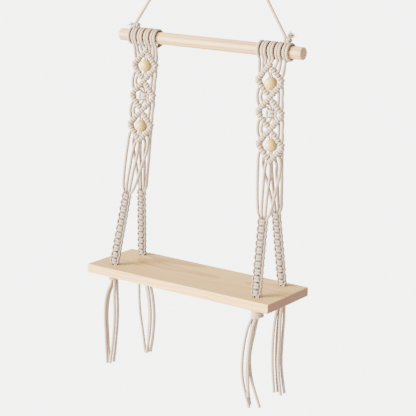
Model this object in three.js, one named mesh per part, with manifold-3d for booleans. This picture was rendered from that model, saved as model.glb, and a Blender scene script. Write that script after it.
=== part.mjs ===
// A wall shelf: a pine board carried by two knotted cotton sides that hang from a wooden dowel.
// Millimetres. +X runs along the board, +Y points to the wall, +Z is up.
// The origin is where the hanging cord rests on its nail: the underside of the cord at its highest point.
import * as THREE from 'three';
import { mergeVertices } from 'three/addons/utils/BufferGeometryUtils.js';
import Module from 'manifold-3d';

const wasm = await Module();
wasm.setup();

// Driving dimensions
const CORD = 5.5; // diameter of every strand
const GAP = 0.4; // clear space between pieces that touch on the real object

const BOARD = { length: 400, depth: 130, thickness: 16.5, middleY: -45, top: -674, edge: 0.8 };
const HOLE = { radius: 7.5, x: 158, front: -38, back: 45 }; // front and back count from the board's middle
const DOWEL = { length: 391, radius: 11, x: 3.5, y: -17, z: -256.5, edge: 1.2, sides: 24 };
const BEAD = { radius: 11.2, bore: 5.3, core: 3.9, sides: 16 }; // core: the two strands through it

// One knotted side. "down" counts from the dowel's axis along the panel, "across" from its middle line.
const PANEL = { topX: 132, forward: 2.5, splay: 0.0624, lean: 0.0416 };
const DIAMOND = { first: 25, pitch: 55.2, halfWidth: 24.4, inside: 15.2, count: 3 };
const BAR = { radius: 5.2, groove: 3.9, hitches: 3, reach: 3, sides: 6 };
const STRANDS = [-24.6, -17.6, -10.6, -3.6, 3.6, 10.6, 17.6, 24.6]; // across, left to right
const BEADED = [0, 2]; // the diamonds with a bead; the one between has a square knot
const SQUARE_KNOT = { width: 25, height: 21, depth: 12 };

// Square-knot legs, front and back, from the panel's strands down to the board's holes
const LEG = {
  top: 131, foot: 3, topX: 150, frontY: -12, backY: 31, knots: 11, width: 23, depth: 13, groove: 0.82,
};
const BUNDLE = 6.6; // radius of the four strands pressed together in a hole
const STOPPER = { radius: 12.5, height: 21 }; // the knot under the board

const WRAP = { inner: DOWEL.radius + 0.75, turns: 8, pitch: 7.3, segments: 12 };
const HANGER = { knot: [11, 7, 5.2], knotAbove: 22.6, armAbove: 24, tail: 14, nailRadius: 3 };

// Each side's places that differ by hand work: along the dowel the middle of its wraps, the hanging cord's
// loop, its knot and the foot of its arm, and how far down from the middle of its diamond each bead sits
const SIDES = [
  { name: 'left', sign: -1, wrapsX: -133, loopX: -166.8, knotX: -161, armX: -154, beadDown: [-0.6, 0.4] },
  { name: 'right', sign: 1, wrapsX: 140, loopX: 173.8, knotX: 171, armX: 161.5, beadDown: [2.4, -0.4] },
];

// The loose ends below each leg: across from the hole, toward the wall from the hole, below the board's top
const FRINGE = {
  left_front: [
    [[-3, -3, -30], [-14, -2, -62], [-18, 0, -97], [-17, 1, -150], [-15, 2, -198]],
    [[-3, 3, -30], [-13, 4, -62], [-18, 5, -97], [-18, 5, -150], [-14, 4, -197]],
    [[3, -3, -30], [3, -3, -62], [3, -1, -97], [-2, 0, -150], [-7, 0, -196]],
    [[3, 3, -30], [5, 5, -62], [4, 7, -97], [0, 8, -150], [-5, 8, -195]],
  ],
  left_back: [
    [[-3, -3, -30], [-6, -2, -64], [-7, 2, -112], [-1, 4, -158], [5, 5, -197]],
    [[-3, 3, -30], [8, 4, -64], [14, 6, -112], [11, 7, -158], [7, 12, -197]],
    [[3, -3, -30], [15, 1, -64], [20, 3, -112], [17, 4, -158], [11, 2, -196]],
    [[3, 3, -30], [20, 6, -64], [27, 8, -112], [24, 9, -158], [18, 9, -194]],
  ],
  right_front: [
    [[-3, -3, -30], [-13, -1, -62], [-22, 0, -118], [-22, 1, -159], [-10, 2, -208]],
    [[-3, 3, -30], [-9, 5, -62], [-17, 8, -118], [-19, 9, -159], [-13, 9, -206]],
    [[3, -3, -30], [-3, -2, -62], [-10, 0, -118], [-11, 1, -150], [-11, 1, -188]],
    [[3, 3, -30], [-1, 5, -62], [-11, 7, -118], [-7, 7, -157], [9, 7, -205]],
  ],
  right_back: [
    [[-3, -3, -30], [-10, -3, -58], [-14, -4, -100], [-15, -4, -150], [-11, -4, -203]],
    [[-3, 3, -30], [-4, 3, -58], [-8, 4, -100], [-8, 4, -150], [-2, 4, -203]],
    [[3, -3, -30], [0, -3, -58], [-1, -3, -100], [-2, -3, -150], [2, -2, -204]],
    [[3, 3, -30], [4, 4, -58], [3, 4, -100], [2, 4, -150], [6, 4, -198]],
  ],
};

// Materials
const material = (color, roughness) => new THREE.MeshStandardMaterial({ color, roughness, metalness: 0 });
const pine = material(0xd9bf9b, 0.55);
const dowelWood = material(0xe3d0b0, 0.55);
const beadWood = material(0xdcc190, 0.45);
const cotton = material(0xdcd3c6, 0.92);

const vec = (x, y, z) => new THREE.Vector3(x, y, z);
const TO_WALL = vec(0, 1, 0);

// Turns a closed geometry into a solid that can be joined and cut.
function solidOf(geometry) {
  const bare = geometry.clone();
  bare.deleteAttribute('normal');
  bare.deleteAttribute('uv');
  const merged = mergeVertices(bare, 1e-4);
  const vertProperties = new Float32Array(merged.attributes.position.array);
  const triVerts = new Uint32Array(merged.index.array);
  return new wasm.Manifold(new wasm.Mesh({ numProp: 3, vertProperties, triVerts }));
}

// Turns a solid back into a geometry.
function geometryOf(solid) {
  const mesh = solid.getMesh();
  const positions = new Float32Array(mesh.numVert * 3);
  for (let i = 0; i < mesh.numVert; i += 1) {
    for (let k = 0; k < 3; k += 1) {
      positions[i * 3 + k] = mesh.vertProperties[i * mesh.numProp + k];
    }
  }
  const geometry = new THREE.BufferGeometry();
  geometry.setAttribute('position', new THREE.BufferAttribute(positions, 3));
  geometry.setIndex(new THREE.BufferAttribute(new Uint32Array(mesh.triVerts), 1));
  geometry.computeVertexNormals();
  return geometry;
}

// Joins solids into one and fills the pockets shut in between them.
function join(solids) {
  const skins = solids.reduce((sum, solid) => sum.add(solid)).decompose();
  return skins.filter((shell) => shell.volume() > 0).reduce((sum, shell) => sum.add(shell));
}

// A closed skin over rings of points, each ring given from the first end to the last, with flat ends.
function skin(rings) {
  const sides = rings[0].length;
  const positions = [];
  const index = [];
  for (const ring of rings) {
    for (const point of ring) {
      positions.push(point.x, point.y, point.z);
    }
  }
  for (let r = 0; r + 1 < rings.length; r += 1) {
    for (let s = 0; s < sides; s += 1) {
      const a = r * sides + s;
      const b = r * sides + ((s + 1) % sides);
      index.push(a, b, a + sides, b, b + sides, a + sides);
    }
  }
  const last = (rings.length - 1) * sides;
  for (let s = 1; s + 1 < sides; s += 1) {
    index.push(0, s + 1, s);
    index.push(last, last + s, last + s + 1);
  }
  const geometry = new THREE.BufferGeometry();
  geometry.setAttribute('position', new THREE.BufferAttribute(new Float32Array(positions), 3));
  geometry.setIndex(index);
  return geometry;
}

// A rod of elliptical section along a list of points. sizes gives [across, deep] radii at each point;
// the section's deep radius lies toward the wall as nearly as it can.
function rod(points, sizes, sides) {
  const rings = points.map((point, i) => {
    const before = points[Math.max(i - 1, 0)];
    const after = points[Math.min(i + 1, points.length - 1)];
    const along = after.clone().sub(before).normalize();
    const across = vec(0, 0, 0).crossVectors(TO_WALL, along).normalize();
    const deep = vec(0, 0, 0).crossVectors(along, across);
    return Array.from({ length: sides }, (unused, s) => {
      const angle = ((s + 0.5) / sides) * 2 * Math.PI;
      return point.clone()
        .addScaledVector(across, Math.cos(angle) * sizes[i][0])
        .addScaledVector(deep, Math.sin(angle) * sizes[i][1]);
    });
  });
  return solidOf(skin(rings));
}

// A strand of one thickness through a few points, bent smoothly.
function strand(points, steps, sides = 5, radius = CORD / 2) {
  const curve = new THREE.CatmullRomCurve3(points, false, 'centripetal');
  const places = steps > 1 ? curve.getPoints(steps) : points;
  return rod(places, places.map(() => [radius, radius]), sides);
}

// Places and sizes along a row of knots from one point to another, which swells at each knot.
function knotRings(from, to, knots, radii, groove) {
  const stops = knots * 2;
  const points = [];
  const sizes = [];
  for (let i = 0; i <= stops; i += 1) {
    points.push(from.clone().lerp(to, i / stops));
    const swell = i % 2 === 1 ? 1 : groove;
    sizes.push([radii[0] * swell, radii[1] * swell]);
  }
  return { points, sizes };
}

// A bar of knots as one solid.
function knotBar(from, to, knots, radii, groove, sides) {
  const { points, sizes } = knotRings(from, to, knots, radii, groove);
  return rod(points, sizes, sides);
}

// Turns of cord round the dowel, each pair drawn together in one larks head: a ring with a ridge per turn.
function wraps(middleX, turns) {
  const profile = [];
  const start = -turns * WRAP.pitch / 2;
  const top = WRAP.inner + CORD * 0.86;
  profile.push(new THREE.Vector2(WRAP.inner, start));
  for (let t = 0; t < turns; t += 1) {
    const x = start + (t + 0.5) * WRAP.pitch;
    profile.push(new THREE.Vector2(top, x));
    if (t + 1 < turns) {
      const deep = t % 2 === 1 ? 0.32 : 0.66;
      profile.push(new THREE.Vector2(WRAP.inner + CORD * deep, x + WRAP.pitch / 2));
    }
  }
  profile.push(new THREE.Vector2(WRAP.inner, -start));
  profile.push(profile[0].clone());
  const ring = new THREE.LatheGeometry(profile, WRAP.segments);
  ring.rotateZ(-Math.PI / 2);
  ring.translate(middleX, DOWEL.y, DOWEL.z);
  return solidOf(ring);
}

// A soft knot: a ball of cord with its own half width, half depth and half height.
function lump(centre, halves) {
  const ball = new THREE.SphereGeometry(1, 8, 5);
  ball.rotateX(Math.PI / 2);
  ball.rotateZ(Math.PI / 8);
  ball.scale(...halves);
  ball.translate(centre.x, centre.y, centre.z);
  return solidOf(ball);
}

// The place on a side's panel that is so far across from its middle line and so far down from the dowel.
function onPanel(side, across, down) {
  const x = side.sign * (PANEL.topX + PANEL.splay * down) + across;
  return vec(x, DOWEL.y - PANEL.forward - PANEL.lean * down, DOWEL.z - down);
}

// How far down the panel a strand meets the upper or lower bars of a diamond.
const crossing = (diamond) => DIAMOND.first + DIAMOND.pitch * diamond;
const halfPitch = DIAMOND.pitch / 2;
const rise = halfPitch / DIAMOND.halfWidth;
const onUpperBar = (diamond, across) => crossing(diamond) + Math.abs(across) * rise;
const onLowerBar = (diamond, across) => crossing(diamond + 1) - Math.abs(across) * rise;

function diamondSolids(side, diamond) {
  const top = onPanel(side, 0, crossing(diamond));
  const bottom = onPanel(side, 0, crossing(diamond + 1));
  const solids = [];
  for (const hand of [-1, 1]) {
    const corner = onPanel(side, hand * DIAMOND.halfWidth, crossing(diamond) + halfPitch);
    for (const end of [top, bottom]) {
      const radii = [BAR.radius, BAR.radius];
      const reach = corner.clone().sub(end).setLength(BAR.reach);
      solids.push(knotBar(end, corner.clone().add(reach), BAR.hitches, radii, BAR.groove / BAR.radius, BAR.sides));
    }
    const across = hand * DIAMOND.inside;
    const ends = [onUpperBar(diamond, across), onLowerBar(diamond, across)];
    solids.push(strand(ends.map((down) => onPanel(side, across, down)), 1));
  }
  const middle = crossing(diamond) + halfPitch;
  const core = [onPanel(side, 0, crossing(diamond) + 4), onPanel(side, 0, crossing(diamond + 1) - 4)];
  solids.push(strand(core, 1, 8, BEAD.core));
  if (!BEADED.includes(diamond)) {
    const half = SQUARE_KNOT.height / 2;
    const radii = [SQUARE_KNOT.width / 2, SQUARE_KNOT.depth / 2];
    solids.push(knotBar(onPanel(side, 0, middle - half), onPanel(side, 0, middle + half), 2, radii, 0.75, 8));
  }
  return solids;
}

// The strands that run free above each diamond: from the wraps, then from the diamond before it.
function runSolids(side) {
  const solids = [];
  for (let diamond = 0; diamond < DIAMOND.count; diamond += 1) {
    for (const across of STRANDS) {
      const outer = Math.abs(across) > 15;
      const bow = outer ? Math.sign(across) * 1.2 : 0;
      const end = onPanel(side, across, onUpperBar(diamond, across));
      if (diamond === 0) {
        const start = vec(side.wrapsX + across, DOWEL.y, DOWEL.z - WRAP.inner - CORD / 2);
        solids.push(strand([start, end], 1));
      } else if (Math.abs(across) > 5) {
        const start = onPanel(side, across, onLowerBar(diamond - 1, across));
        const middle = onPanel(side, across + bow, (start.z + end.z) / -2 + DOWEL.z);
        solids.push(strand(outer ? [start, middle, end] : [start, end], outer ? 3 : 1));
      }
    }
  }
  return solids;
}

// Which leg and which place in it each strand goes to, in the order of STRANDS.
const ROUTES = [
  { leg: 'front', slot: -9 }, { leg: 'back', slot: -9 }, { leg: 'front', slot: -3 }, { leg: 'front', slot: 3 },
  { leg: 'back', slot: -3 }, { leg: 'front', slot: 9 }, { leg: 'back', slot: 3 }, { leg: 'back', slot: 9 },
];

function legPlaces(side, leg) {
  const front = leg === 'front';
  const top = vec(side.sign * LEG.topX, BOARD.middleY + (front ? LEG.frontY : LEG.backY), BOARD.top + LEG.top);
  const holeY = BOARD.middleY + (front ? HOLE.front : HOLE.back);
  const foot = vec(side.sign * HOLE.x, holeY, BOARD.top + GAP);
  return { top, foot };
}

function splitSolids(side) {
  return STRANDS.map((across, i) => {
    const { top } = legPlaces(side, ROUTES[i].leg);
    const start = onPanel(side, across, onLowerBar(DIAMOND.count - 1, across));
    const end = vec(top.x + ROUTES[i].slot, top.y, top.z - 3);
    const bend = start.clone().lerp(end, 0.45);
    bend.x += Math.sign(across) * (Math.abs(across) > 20 ? 3 : 0);
    return strand([start, bend, end], 4);
  });
}

function legSolids(side, leg) {
  const { top, foot } = legPlaces(side, leg);
  const radii = [LEG.width / 2, LEG.depth / 2];
  const last = foot.clone().add(vec(0, 0, LEG.foot));
  const rings = knotRings(top, last, LEG.knots, radii, LEG.groove);
  rings.points.push(foot.clone().add(vec(0, 0, 0.2)));
  rings.sizes.push(radii.map((radius) => radius * LEG.groove));
  const solids = [rod(rings.points, rings.sizes, 8)];
  const under = BOARD.top - BOARD.thickness - GAP;
  const through = [foot.clone().setZ(foot.z + 4), foot.clone().setZ(under - 4)];
  solids.push(strand(through, 1, 8, BUNDLE));
  const knotMiddle = foot.clone().setZ(under - STOPPER.height / 2);
  solids.push(lump(knotMiddle, [STOPPER.radius, STOPPER.radius, STOPPER.height / 2]));
  const hole = foot.clone().setZ(BOARD.top);
  for (const route of FRINGE[`${side.name}_${leg}`]) {
    const points = route.map(([x, y, z]) => hole.clone().add(vec(x, y, z)));
    solids.push(strand(points, 6, 4));
  }
  return solids;
}

function macrameSide(side) {
  const solids = [wraps(side.wrapsX, WRAP.turns)];
  for (let diamond = 0; diamond < DIAMOND.count; diamond += 1) {
    solids.push(...diamondSolids(side, diamond));
  }
  solids.push(...runSolids(side), ...splitSolids(side));
  solids.push(...legSolids(side, 'front'), ...legSolids(side, 'back'));
  return geometryOf(join(solids));
}

// The hanging cord: a loop round the dowel at each end, a knot above it, and the bent length over the nail.
function hangingCord() {
  const apex = vec(0, 0, CORD / 2);
  const feet = SIDES.map((side) => vec(side.armX, DOWEL.y, DOWEL.z + HANGER.armAbove));
  const bend = HANGER.nailRadius + CORD / 2;
  const shoulders = feet.map((foot) => {
    const toward = foot.clone().sub(apex).normalize();
    return apex.clone().addScaledVector(toward, bend * 1.6).add(vec(0, 0, -bend * 0.15));
  });
  const route = [feet[0], feet[0].clone().lerp(shoulders[0], 0.5), shoulders[0], apex];
  route.push(shoulders[1], feet[1].clone().lerp(shoulders[1], 0.5), feet[1]);
  const solids = [strand(route, 24, 8)];
  for (const side of SIDES) {
    const knot = vec(side.knotX, DOWEL.y, DOWEL.z + HANGER.knotAbove);
    const loopTop = vec(side.loopX, DOWEL.y, DOWEL.z + WRAP.inner + CORD / 2);
    const tip = knot.clone().add(vec(side.sign * HANGER.tail * 0.8, 4, HANGER.tail * 0.6));
    solids.push(wraps(side.loopX, 1), lump(knot, HANGER.knot));
    solids.push(strand([loopTop, knot], 1, 6), strand([knot, tip], 1, 6));
  }
  return geometryOf(join(solids));
}

// The board: its long edges eased by a small flat, with a round hole near each corner.
function board() {
  const { length, depth, thickness, middleY, top, edge } = BOARD;
  const outline = new THREE.Shape();
  const high = thickness / 2;
  const corners = [[-1, -1], [1, -1], [1, 1], [-1, 1]];
  corners.forEach(([y, z], i) => {
    const first = i % 2 === 0 ? [y * (depth / 2), z * (high - edge)] : [y * (depth / 2 - edge), z * high];
    const second = i % 2 === 0 ? [y * (depth / 2 - edge), z * high] : [y * (depth / 2), z * (high - edge)];
    if (i === 0) {
      outline.moveTo(...first);
    } else {
      outline.lineTo(...first);
    }
    outline.lineTo(...second);
  });
  const plank = new THREE.ExtrudeGeometry(outline, { depth: length, bevelEnabled: false });
  plank.rotateX(Math.PI / 2);
  plank.rotateZ(Math.PI / 2);
  plank.translate(-length / 2, middleY, top - high);
  let solid = solidOf(plank);
  for (const x of [-HOLE.x, HOLE.x]) {
    for (const y of [HOLE.front, HOLE.back]) {
      const bore = new THREE.CylinderGeometry(HOLE.radius, HOLE.radius, thickness + 10, 20);
      bore.rotateX(Math.PI / 2);
      bore.translate(x, middleY + y, top - high);
      solid = solid.subtract(solidOf(bore));
    }
  }
  return geometryOf(solid);
}

function dowel() {
  const { length, radius, edge, sides, x, y, z } = DOWEL;
  const half = length / 2;
  const profile = [[0, -half], [radius - edge, -half], [radius, edge - half]];
  profile.push([radius, half - edge], [radius - edge, half], [0, half]);
  const lathe = new THREE.LatheGeometry(profile.map(([r, along]) => new THREE.Vector2(r, along)), sides);
  lathe.rotateZ(-Math.PI / 2);
  lathe.translate(x, y, z);
  return lathe;
}

// A round bead bored along its height.
function bead(side, diamond) {
  const profile = [];
  const flat = Math.acos(BEAD.bore / BEAD.radius);
  const steps = 8;
  for (let i = 0; i <= steps; i += 1) {
    const angle = -flat + (2 * flat * i) / steps;
    profile.push(new THREE.Vector2(BEAD.radius * Math.cos(angle), BEAD.radius * Math.sin(angle)));
  }
  profile.push(profile[0].clone());
  const lathe = new THREE.LatheGeometry(profile, BEAD.sides);
  lathe.rotateX(Math.PI / 2);
  const middle = onPanel(side, 0, crossing(diamond) + halfPitch + side.beadDown[BEADED.indexOf(diamond)]);
  lathe.translate(middle.x, middle.y, middle.z);
  return lathe;
}

const shelf = new THREE.Group();

function addPiece(name, geometry, look) {
  const mesh = new THREE.Mesh(geometry, look);
  mesh.name = name;
  shelf.add(mesh);
}

addPiece('board', board(), pine);
addPiece('dowel', dowel(), dowelWood);
addPiece('hanging_cord', hangingCord(), cotton);
for (const side of SIDES) {
  addPiece(`macrame_${side.name}`, macrameSide(side), cotton);
  addPiece(`bead_${side.name}_upper`, bead(side, BEADED[0]), beadWood);
  addPiece(`bead_${side.name}_lower`, bead(side, BEADED[1]), beadWood);
}

export default shelf;
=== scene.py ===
import math

import bpy
import numpy as np
from mathutils import Matrix, Vector


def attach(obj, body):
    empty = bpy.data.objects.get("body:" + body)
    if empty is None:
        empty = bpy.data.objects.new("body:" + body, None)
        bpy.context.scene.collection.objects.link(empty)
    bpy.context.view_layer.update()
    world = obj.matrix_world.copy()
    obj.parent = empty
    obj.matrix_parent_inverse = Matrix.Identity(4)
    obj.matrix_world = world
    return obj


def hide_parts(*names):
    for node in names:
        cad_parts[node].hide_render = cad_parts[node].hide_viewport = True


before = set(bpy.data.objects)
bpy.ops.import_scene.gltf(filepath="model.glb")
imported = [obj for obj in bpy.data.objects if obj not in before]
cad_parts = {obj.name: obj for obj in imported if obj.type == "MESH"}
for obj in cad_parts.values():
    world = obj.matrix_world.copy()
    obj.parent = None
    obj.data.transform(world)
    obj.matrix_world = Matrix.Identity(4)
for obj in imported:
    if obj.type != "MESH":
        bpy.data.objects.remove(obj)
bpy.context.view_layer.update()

bl_info = {
    "name": "Knotted wall shelf",
    "version": (1, 0, 0),
    "blender": (4, 5, 0),
    "location": "3D View > Sidebar > Shelf",
    "description": "Cords, knots, beads, dowel and board of a knotted cotton wall shelf",
    "category": "Object",
}

MM = 0.001
GIRTH = 17.3  # round a free strand, in mm

# The places that the solids fix
BOARD = {"length": 400, "depth": 130, "thickness": 16.5, "middle_y": -45, "top": -674}
HOLE = {"radius": 7.5, "x": 158, "front_y": -83, "back_y": 0}
DOWEL = {"length": 391, "radius": 11, "x": 3.5, "y": -17, "z": -256.5, "edge": 1.0}
BEAD = {"radius": 11.8, "rise": 11.4, "bore": 5.0, "lip": 0.5}
PANEL = {"top_x": 132, "forward": 2.5, "splay": 0.0624, "lean": 0.0416}
DIAMOND = {"first": 25, "pitch": 55.2, "half_width": 26.0, "count": 3, "bead": (1.0, -2.4)}
BEADED = (0, 2)
STRANDS = (-24.6, -17.6, -10.6, -3.6, 3.6, 10.6, 17.6, 24.6)
MIDDLE_STRANDS = (3, 4)
LEGS = ("front", "back")
LEG = {"top_y": (-57, -14), "knots": 11, "set_back": 2.0, "slim": (1.0, 0.92), "shade": 0.3,
       "core": (2.9, 0.8), "core_ends": (1, 4), "core_radii": (2.6, 3.1), "past_foot": 1.5,
       "narrow": 0.3, "narrow_over": 9, "first_bend": (-3.5, -6.0)}
ROLES = ("over", "core_left", "core_right", "under")  # two side cords that knot round two straight ones
APEX = np.array([0.0, 0.0, 2.0])
NAIL = {"z": -3.0, "reach": 5.75, "bend": 52, "rows": 9}
# The tail of each end of the hanging cord, from its cut end into the knot, from the knot's middle
TAIL = {"left": ((-9.5, -3.0, -0.5), (-6.5, -3.0, 0.5)), "right": ((7.0, -3.0, 7.5), (5.0, -3.0, 2.5))}
SIDES = (
    {"name": "left", "sign": -1, "pairs_x": (-155.2, -140.6, -126.0, -111.4), "first": 0, "loop_x": -166.4,
     "knot": (-158.5, 20.8), "arm": (-156.5, 28.0), "bead_down": (-0.6, 0.4), "leg_x": (-148.0, -148.5),
     "leg_top": (132.5, 130.5)},
    {"name": "right", "sign": 1, "pairs_x": (111.6, 126.2, 140.8, 155.4, 170.0), "first": 1, "loop_x": 173.1,
     "knot": (166.5, 20.8), "arm": (162.0, 24.5), "bead_down": (3.6, -0.4), "leg_x": (152.0, 150.5),
     "leg_top": (132.5, 135.5)},
)
# Which leg each strand ends in, and its role there
ROUTES = (("front", "over"), ("back", "over"), ("front", "core_left"), ("front", "core_right"),
          ("back", "core_left"), ("back", "core_right"), ("front", "under"), ("back", "under"))
# The loose ends, counted from their hole: along the board, toward the wall, and up from the board's top
FRINGE = {
    "left_front": (
        ((-17, -2, -62), (-23, 0, -97), (-22, 1, -150), (-20, 2, -198)),
        ((-15, 3, -62), (-21, 4, -97), (-20, 5, -150), (-16, 4, -197)),
        ((2, -3, -62), (1, -1, -97), (-4, 0, -150), (-11, 0, -196)),
        ((3, 5, -62), (2, 7, -97), (-3, 8, -150), (-9, 8, -195))),
    "left_back": (
        ((-6, -2, -64), (-7, 2, -112), (-1, 4, -158), (4, 5, -197)),
        ((7, 4, -64), (13, 6, -112), (10, 7, -158), (5, 12, -197)),
        ((13, 1, -64), (18, 3, -112), (15, 4, -158), (9, 2, -196)),
        ((17, 6, -64), (23, 8, -112), (20, 9, -158), (14, 9, -194))),
    "right_front": (
        ((-16, -1, -62), (-26, 0, -118), (-25, 1, -159), (-11, 2, -208)),
        ((-11, 5, -62), (-20, 8, -118), (-21, 9, -159), (-14, 9, -206)),
        ((-6, -2, -62), (-14, 0, -118), (-14, 1, -150), (-13, 1, -188)),
        ((-4, 5, -62), (-15, 7, -118), (-10, 7, -157), (8, 7, -205))),
    "right_back": (
        ((-10, -3, -58), (-14, -4, -100), (-14, -4, -150), (-9, -4, -203)),
        ((-7, 3, -58), (-11, 4, -100), (-11, 4, -150), (-6, 4, -204)),
        ((0, -3, -58), (-1, -3, -100), (-2, -3, -150), (4, -2, -206)),
        ((3, 4, -58), (1, 4, -100), (0, 4, -150), (8, 4, -203))),
}

# How the cord lies in its knots, in mm. Places count from the middle of a knot, a crossing or a diamond.
INWARD = (0.0, 0.0, -1.0)  # a facing in a knot's own axes
HITCH = {"radius": 3.1, "flat": 1.75, "broad": 2.5, "front": 2.7, "back": 2.0, "lay": 2.0,
         "end": (2.3, 2.6, 0.5)}
HITCH_PLACES = (10.6, 21.6, 32.6)  # from a crossing along each bar
LEADER = {"radius": 2.0, "places": (8.0, 19.0, 30.0)}  # the cord inside the hitches
CORNER_BEND = np.array([(-0.9, -3.6), (1.0, 0.0), (-0.9, 3.6)])  # its turn at a diamond's corner
PASSING = {"swing": 0.4, "out": 0.2}  # a free strand beside a crossing
CORNER_STRAND = {"across": 19.0, "out": -2.4, "slim": 0.9}  # a free strand behind a diamond's corner
SIDE_STRAND = {"across": 21.5, "out": -2.8}  # a free strand beside a bead
THREAD = {"radius": 2.1, "ends": (2.6, 15), "hole": (2.1, 8)}  # a strand through a bead: across and down
MIDDLE_KNOT = {"wide": 9.4, "height": 16.5, "across": 2.4, "out": -3.2, "shade": 0.6}
MIDDLE_CORE = {"radius": 2.4, "across": 2.5, "down": (-9, -5, 5, 9), "inward_shade": (0, 1, 1, 0)}
TURN = {"radius": 13.9, "flat": 2.4, "broad": 2.8, "half_pair": 2.85, "last": -36.0, "leave": -44,
        "inward_shade": 0.8}
BIGHT = {"angles": (256, 247, 232, 210), "lift": 3.6, "lift_over": 60, "join_over": 24}  # behind the dowel
NECK = {"down": (15.5, 19.5), "from": 10, "first_hitch": 18.0, "later": 8.2, "out": 4.2, "lean": 0.26}
BUNDLE = {"reach": 3.3, "down": (-4.0, -BOARD["thickness"], -30.0), "radius": 2.75}  # in a hole of the board
KNOT_ROWS = 24.0  # degrees between the rows of a turn
STOPPER_TURN = {"angles": (-40.0, 401.0), "dip_from": 175, "dip_over": 40, "dip": 4.6, "pitch": 4.6,
                "tilt": 1.8, "radii": (2.5, 2.9)}
# The hanging cord's coil above the dowel
COIL = {"rows": 30, "start": 6.5, "length": 12.5, "first": 60, "turned": 800, "front": 3.2, "up": 3.0,
        "ends": (5, 0.2), "radii": (1.9, 2.5), "inward_shade": 0.45, "bare_end": 6, "sag": 1.0}
LOOP = (-61.0, 311.0)  # degrees that the hanging cord goes round the dowel
ARM = {"inside": (9, 4.5), "inside_radius": 2.4, "places": (0, 8, 30, 90, 170, 240, 262), "tail_radius": 2.7}
TUFT = {"counts": (20, 90), "reach": (3.5, 8.5), "spread": 0.6, "root": 1.3, "radius": 0.5, "tip": 0.3,
        "droop": ((0, 0, 0), (0, 0, 0), (0.2, 0, -0.25)), "step": 2.0, "sides": 6}
CUT = {"ring": 0.12, "point": 0.16, "narrow": 0.8}  # of a cord's cut end, in radii
SEEDS = {"sides": 7, "tufts": 11, "beads": 3}
# Of the meshes: mm from ring to ring of a cord, points in a ring, and rows of a profile
CORD = {"step": 3.0, "sides": 16}
LATHE = {"sides": 64, "bead_rows": 40, "bore_rows": 5, "dowel_rows": 60, "edge_rows": 6}
BIT = {"sides": 40, "reach": 20}  # the drill of the board's holes, from the board's middle up and down
BOARD_EDGE_ROWS = 5

# One square knot. Columns: across in widths, down in knots, out in mm, the section's facing across and
# out, its radius along that facing, its other radius, and how much painted shade darkens all of it where
# other cords cover it, where less than 0 takes away painted shade added to it elsewhere, so that the back
# stays light. The first cord lies twice over the middle, the second twice behind it, and the second comes
# up over the first at both edges.
OVER_CORD = np.array([
    (-0.82, 0.00, 0.8, -0.8, 0.6, 2.2, 2.3, 0.4),
    (-0.82, 0.12, 0.8, -0.6, 0.8, 2.1, 2.3, 0.4),
    (-0.68, 0.23, 1.8, -0.3, 1.0, 2.1, 2.5, 0.4),
    (-0.44, 0.27, 3.7, 0.0, 1.0, 2.1, 2.7, 0.0),
    (0.00, 0.29, 4.4, 0.0, 1.0, 2.2, 2.7, 0.0),
    (0.40, 0.30, 3.9, 0.0, 1.0, 2.1, 2.6, 0.0),
    (0.68, 0.31, 1.9, 0.3, 1.0, 2.1, 2.4, 0.5),
    (0.92, 0.37, 2.2, 0.6, 0.8, 2.2, 2.3, 0.0),
    (1.00, 0.49, 2.4, 0.8, 0.6, 2.2, 2.4, 0.0),
    (0.92, 0.61, 2.2, 0.6, 0.8, 2.2, 2.3, 0.0),
    (0.68, 0.67, 1.9, 0.3, 1.0, 2.1, 2.4, 0.5),
    (0.40, 0.68, 3.9, 0.0, 1.0, 2.1, 2.6, 0.0),
    (0.00, 0.69, 4.4, 0.0, 1.0, 2.2, 2.7, 0.0),
    (-0.44, 0.71, 3.7, 0.0, 1.0, 2.1, 2.7, 0.0),
    (-0.68, 0.76, 1.8, -0.3, 1.0, 2.1, 2.5, 0.4),
    (-0.82, 0.87, 0.8, -0.6, 0.8, 2.1, 2.3, 0.4)])
UNDER_CORD = np.array([
    (-0.60, 0.08, -0.8, -1.0, 0.0, 2.1, 2.3, 0.5),
    (-0.84, 0.15, 1.8, -0.7, 0.7, 2.1, 2.3, 0.1),
    (-0.92, 0.28, 3.4, -0.5, 0.9, 2.1, 2.3, 0.0),
    (-0.93, 0.49, 3.8, -0.5, 0.9, 2.2, 2.4, 0.0),
    (-0.92, 0.70, 3.4, -0.5, 0.9, 2.1, 2.3, 0.0),
    (-0.84, 0.83, 1.8, -0.7, 0.7, 2.1, 2.3, 0.1),
    (-0.60, 0.90, -0.8, -1.0, 0.0, 2.1, 2.3, 0.5),
    (-0.26, 0.84, -3.2, -0.4, -1.0, 2.2, 2.4, -0.35),
    (0.26, 0.74, -3.2, 0.4, -1.0, 2.2, 2.4, -0.35),
    (0.60, 0.67, -0.8, 1.0, 0.0, 2.1, 2.3, 0.5),
    (0.84, 0.72, 2.2, 0.7, 0.7, 2.1, 2.3, 0.1),
    (0.93, 0.83, 3.6, 0.5, 0.9, 2.2, 2.3, 0.0),
    (0.95, 0.99, 3.9, 0.5, 0.9, 2.2, 2.4, 0.0),
    (0.93, 1.15, 3.6, 0.5, 0.9, 2.2, 2.3, 0.0),
    (0.84, 1.26, 2.2, 0.7, 0.7, 2.1, 2.3, 0.1),
    (0.60, 1.31, -0.8, 1.0, 0.0, 2.1, 2.3, 0.5),
    (0.26, 1.25, -3.2, 0.4, -1.0, 2.2, 2.4, -0.35),
    (-0.26, 1.14, -3.2, -0.4, -1.0, 2.2, 2.4, -0.35)])
ONE_KNOT_UP = np.array([0, 1, 0, 0, 0, 0, 0, 0])
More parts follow.
